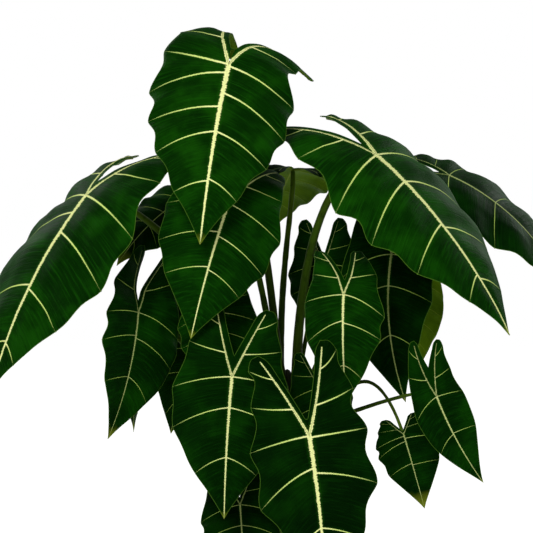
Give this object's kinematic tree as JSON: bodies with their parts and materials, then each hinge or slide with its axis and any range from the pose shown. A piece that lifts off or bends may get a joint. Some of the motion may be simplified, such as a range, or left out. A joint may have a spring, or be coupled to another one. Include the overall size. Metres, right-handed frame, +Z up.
{
  "type": "potted alocasia",
  "caption": "Potted foliage plant with dark arrowhead leaves, pale veins and slender stalks round one upright stem, in a plain tapered clay pot.",
  "frame": {"origin": "centre of the pot's underside, on the surface it stands on", "axes": "+Z up, -Y the plant's front, +X to the right as seen from the front"},
  "size_m": [0.8139, 0.4214, 1.0049],
  "materials": {
    "clay": "unglazed terracotta, matt",
    "soil": "loose peat and bark potting mix",
    "stem": "fibrous, matt",
    "blade": "velvety dark green with pale yellow-green veins, lighter underside",
    "stalk": "smooth, slightly glossy olive green"
  },
  "bodies": {
    "root": {"pot": "clay", "soil": "soil", "stem": "stem", "leaf_crown": "blade", "stalk_crown": "stalk", "leaf_upper_right": "blade", "stalk_upper_right": "stalk", "leaf_upper_left": "blade", "stalk_upper_left": "stalk", "leaf_back_top": "blade", "stalk_back_top": "stalk", "leaf_far_right": "blade", "stalk_far_right": "stalk", "leaf_upper_centre": "blade", "stalk_upper_centre": "stalk", "leaf_left_back": "blade", "stalk_left_back": "stalk", "leaf_right_centre": "blade", "stalk_right_centre": "stalk", "leaf_right_bright": "blade", "stalk_right_bright": "stalk", "leaf_centre_notch": "blade", "stalk_centre_notch": "stalk", "leaf_right_inner": "blade", "stalk_right_inner": "stalk", "leaf_left_outer": "blade", "stalk_left_outer": "stalk", "leaf_left_behind": "blade", "stalk_left_behind": "stalk", "leaf_left_under": "blade", "stalk_left_under": "stalk", "leaf_left_inner": "blade", "stalk_left_inner": "stalk", "leaf_centre_left_back": "blade", "stalk_centre_left_back": "stalk", "leaf_centre_left": "blade", "stalk_centre_left": "stalk", "leaf_centre_right_back": "blade", "stalk_centre_right_back": "stalk", "leaf_right_arrow": "blade", "stalk_right_arrow": "stalk", "leaf_right_heart": "blade", "stalk_right_heart": "stalk", "leaf_centre_right": "blade", "stalk_centre_right": "stalk", "leaf_low_centre": "blade", "stalk_low_centre": "stalk"}
  },
  "joints": []
}
